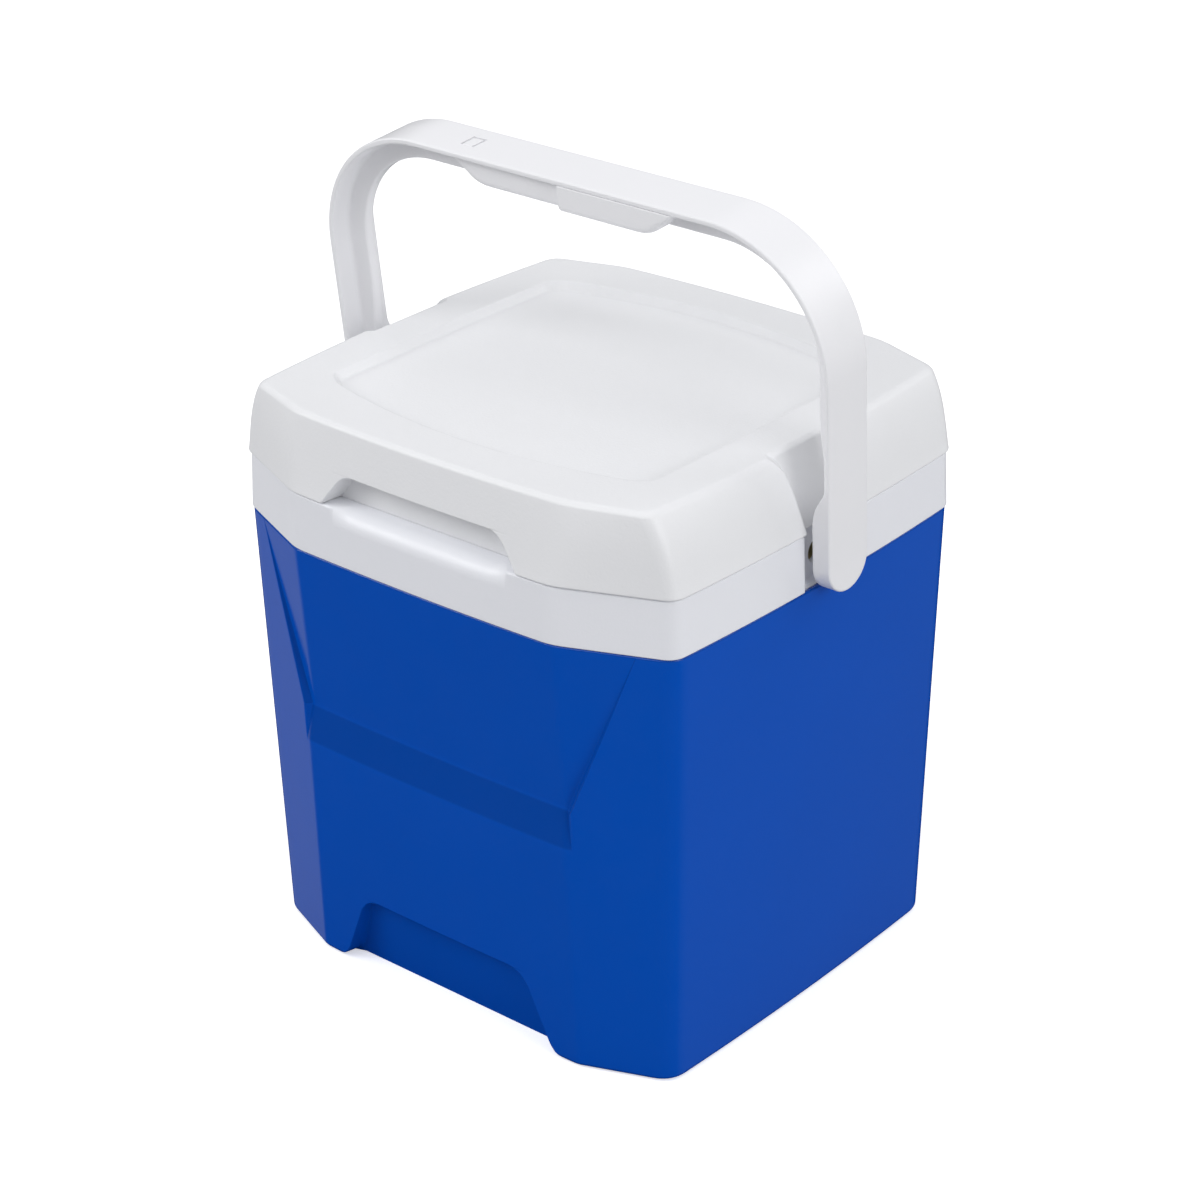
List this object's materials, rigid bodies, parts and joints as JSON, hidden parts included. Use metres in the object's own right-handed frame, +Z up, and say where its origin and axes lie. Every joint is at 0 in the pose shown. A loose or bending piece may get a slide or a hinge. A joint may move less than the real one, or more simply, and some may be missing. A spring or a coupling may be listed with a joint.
{
  "type": "cooler chest",
  "caption": "Insulated personal cooler chest with an octagonal tapered body, a lift-off lid with a finger notch, and a bail handle that swings on two side pegs.",
  "frame": {"origin": "centre of the footprint at the underside of the body", "axes": "+Z up, front (the side with the finger notch in the lid) towards -Y, the handle's pivot axis along X"},
  "size_m": [0.3088, 0.2622, 0.4097],
  "materials": {
    "shell_blue": "satin",
    "liner_white": "satin",
    "lid_white": "satin",
    "handle_white": "satin",
    "foam_cream": "matte"
  },
  "bodies": {
    "body": {"outer_shell": "shell_blue", "inner_liner": "liner_white", "body_foam": "foam_cream"},
    "lid": {"lid_cover": "lid_white", "lid_liner": "liner_white", "lid_foam": "foam_cream"},
    "handle": {"handle_bail": "handle_white", "handle_grip": "handle_white"}
  },
  "joints": [
    {"name": "lid_lift", "type": "slide", "parent": "body", "child": "lid", "axis": [0, 0, 1], "range_m": [0, 0.07]},
    {"name": "handle_swing", "type": "hinge", "parent": "body", "child": "handle", "pos_m": [0, 0, 0.2465], "axis": [1, 0, 0], "range_deg": [-117.9, 108.1]}
  ]
}
